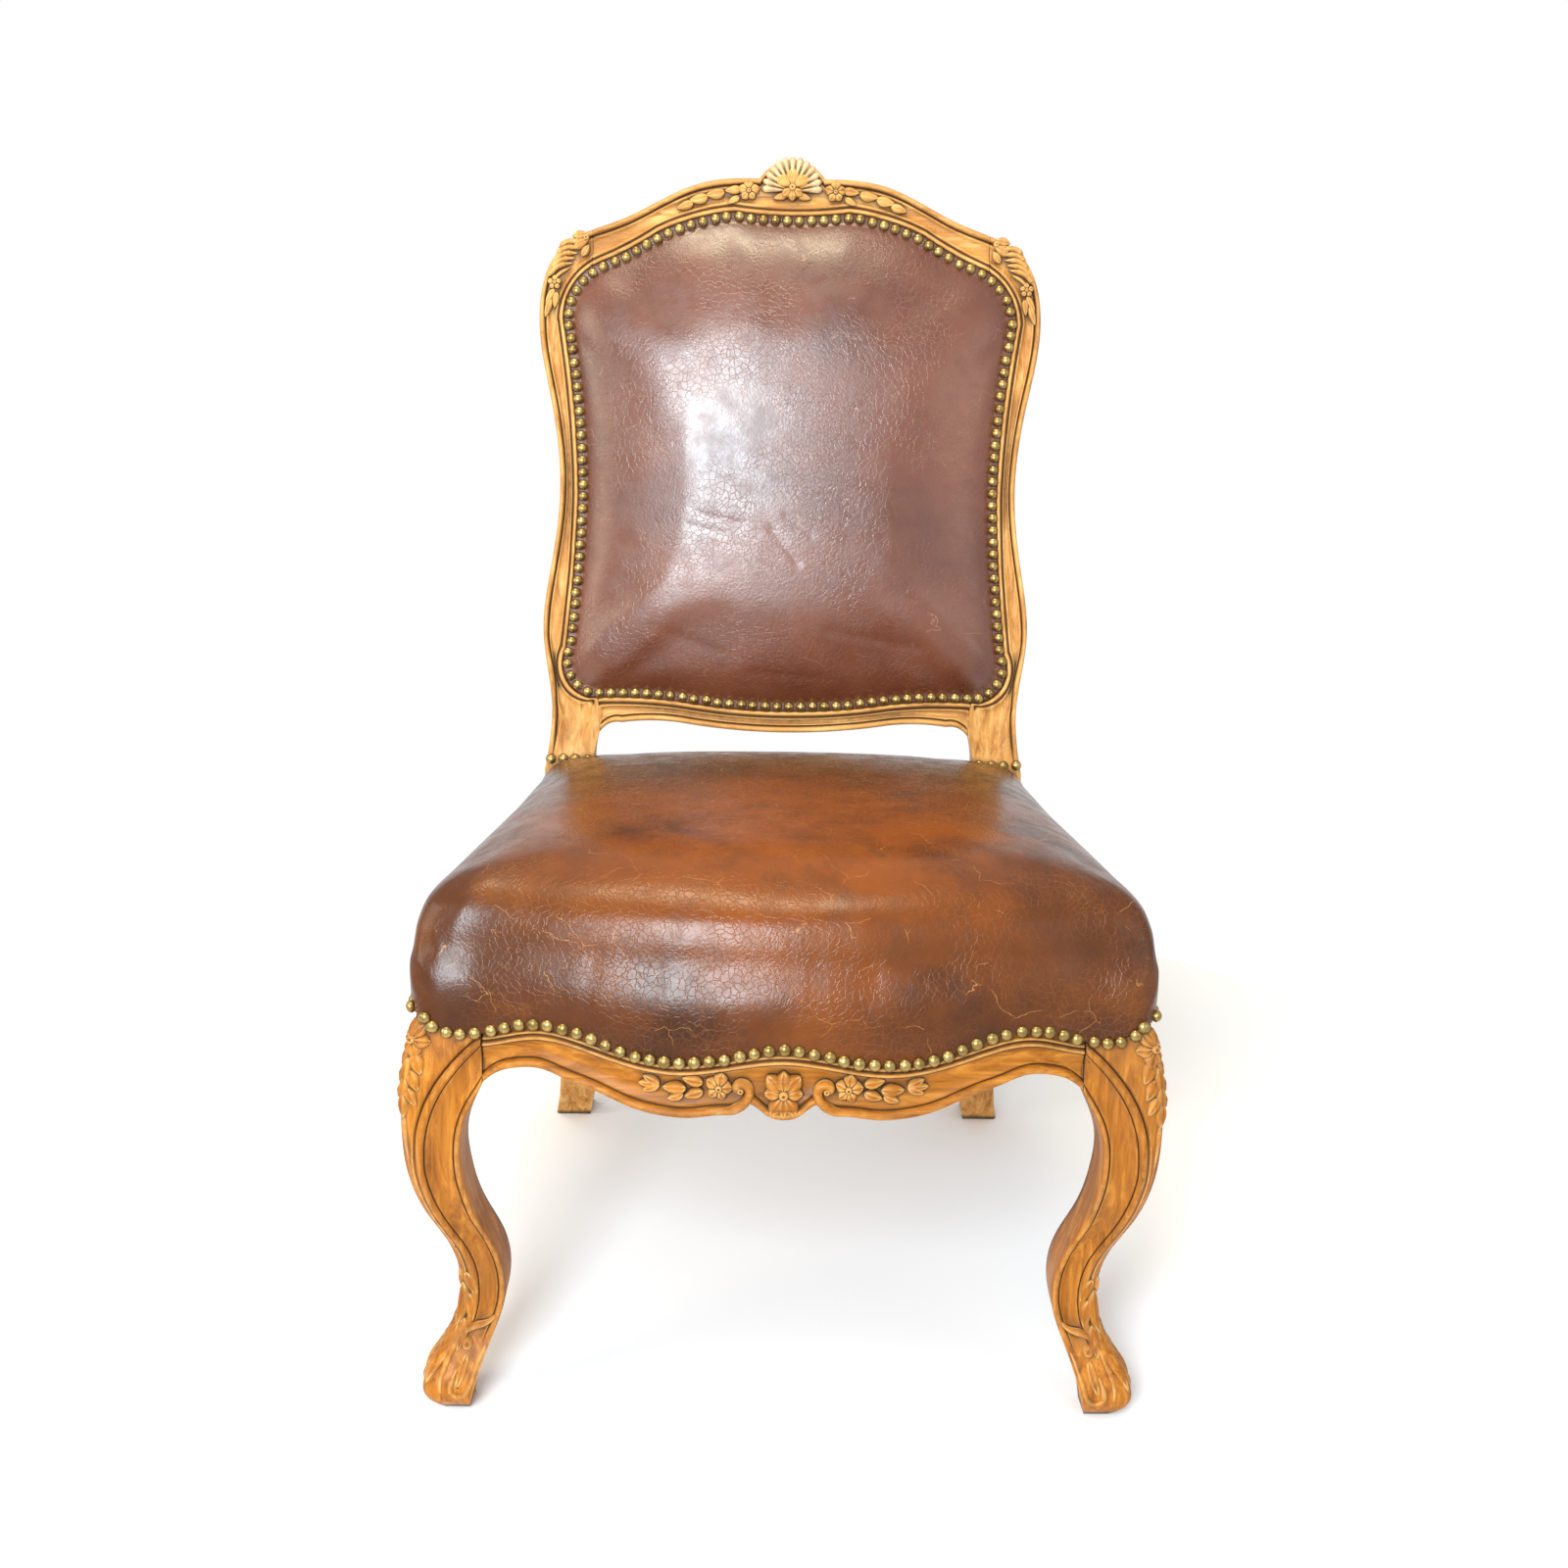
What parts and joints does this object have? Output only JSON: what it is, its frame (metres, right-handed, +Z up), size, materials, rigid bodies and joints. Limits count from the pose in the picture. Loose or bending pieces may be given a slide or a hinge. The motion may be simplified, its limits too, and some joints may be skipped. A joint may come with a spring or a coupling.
{
  "type": "side chair",
  "caption": "Armless side chair with a moulded, carved wooden frame, cabriole front legs, and a leather seat and back edged with domed brass nails.",
  "frame": {"origin": "on the floor, under the middle of the chair's bounding box", "axes": "+Z up, +Y towards the back of the chair, +X to the right of someone facing the chair's front"},
  "size_m": [0.5558, 0.5995, 0.924],
  "materials": {
    "carved_wood": "waxed honey-brown beech, rubbed pale on the edges and dark in the grooves",
    "plain_wood": "plain sawn wood",
    "seat_leather": "worn, polished brown hide",
    "back_leather": "polished reddish-brown hide with fine creases",
    "brass_nails": "aged brass",
    "webbing": "woven jute webbing",
    "hessian": "plain hessian",
    "stuffing": "curled hair stuffing"
  },
  "bodies": {
    "root": {"back_hessian": "hessian", "back_joint_pegs": "plain_wood", "back_leather_front": "back_leather", "back_leather_outside": "back_leather", "back_lower_rail": "carved_wood", "back_nails_front": "brass_nails", "back_nails_outside": "brass_nails", "back_stuffing": "stuffing", "back_webbing_across": "webbing", "back_webbing_upright": "webbing", "corner_block_front_left": "plain_wood", "corner_block_front_right": "plain_wood", "corner_block_rear_left": "plain_wood", "corner_block_rear_right": "plain_wood", "crest_rail": "carved_wood", "front_joint_pegs": "plain_wood", "front_leg_left": "carved_wood", "front_leg_right": "carved_wood", "front_rail": "carved_wood", "rear_joint_pegs": "plain_wood", "rear_leg_left": "carved_wood", "rear_leg_right": "carved_wood", "rear_rail": "plain_wood", "seat_hessian": "hessian", "seat_leather": "seat_leather", "seat_nails_front": "brass_nails", "seat_nails_left": "brass_nails", "seat_nails_posts": "brass_nails", "seat_nails_rear": "brass_nails", "seat_nails_right": "brass_nails", "seat_stuffing": "stuffing", "seat_webbing_crosswise": "webbing", "seat_webbing_lengthwise": "webbing", "side_rail_left": "carved_wood", "side_rail_right": "carved_wood"}
  },
  "joints": []
}
